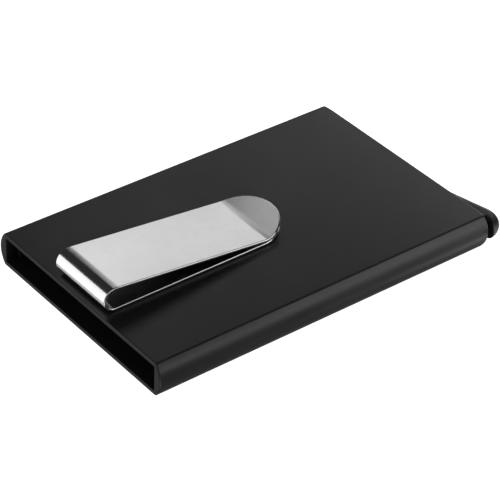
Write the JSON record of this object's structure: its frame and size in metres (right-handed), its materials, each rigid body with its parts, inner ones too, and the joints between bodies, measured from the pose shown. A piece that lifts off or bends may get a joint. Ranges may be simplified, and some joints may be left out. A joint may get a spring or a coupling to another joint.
{
  "type": "minimalist wallet",
  "caption": "Slim black aluminium card case with a folded steel money clip on its upper face and a thumb lever at one corner that fans the cards out of its open end.",
  "frame": {"origin": "middle of the sleeve's flat underside", "axes": "+X from the card mouth to the lever end, +Y across the width away from the lever's corner, +Z out of the face that carries the clip"},
  "size_m": [0.1014, 0.0627, 0.0152],
  "materials": {
    "black_anodised": "matte black anodised",
    "lever_plastic": "fine moulded matte",
    "cassette_plastic": "moulded matte",
    "felt": "short black felt",
    "clip_steel": "fine brushed satin",
    "pin_steel": "turned",
    "screw_steel": "zinc plated",
    "spring_steel": "drawn wire",
    "adhesive_foam": "grey acrylic foam tape"
  },
  "bodies": {
    "case": {"case_tube": "black_anodised", "side_strip_near": "felt", "side_strip_far": "felt", "card_pad": "felt", "end_tray": "cassette_plastic", "end_cover": "cassette_plastic", "cover_screws": "screw_steel", "tray_tape_lower": "adhesive_foam", "tray_tape_upper": "adhesive_foam", "pivot_pin": "pin_steel", "pin_clip": "pin_steel", "return_spring": "spring_steel", "clip_pad": "adhesive_foam", "clip_base": "clip_steel"},
    "lever": {"eject_lever": "lever_plastic"},
    "clip_leaf": {"clip_arm": "clip_steel"}
  },
  "joints": [
    {"name": "lever_pivot", "type": "hinge", "parent": "case", "child": "lever", "pos_m": [0.0423, -0.023, 0.0045], "axis": [0, 0, 1], "range_deg": [0, 28], "stiffness_Nm_per_rad": 0.012, "springref_deg": -20.05, "deforming": ["return_spring"]},
    {"name": "clip_flex", "type": "hinge", "parent": "case", "child": "clip_leaf", "pos_m": [-0.044, 0, 0.01208], "axis": [0, -1, 0], "range_deg": [0, 7], "stiffness_Nm_per_rad": 6, "springref_deg": -1.15}
  ]
}
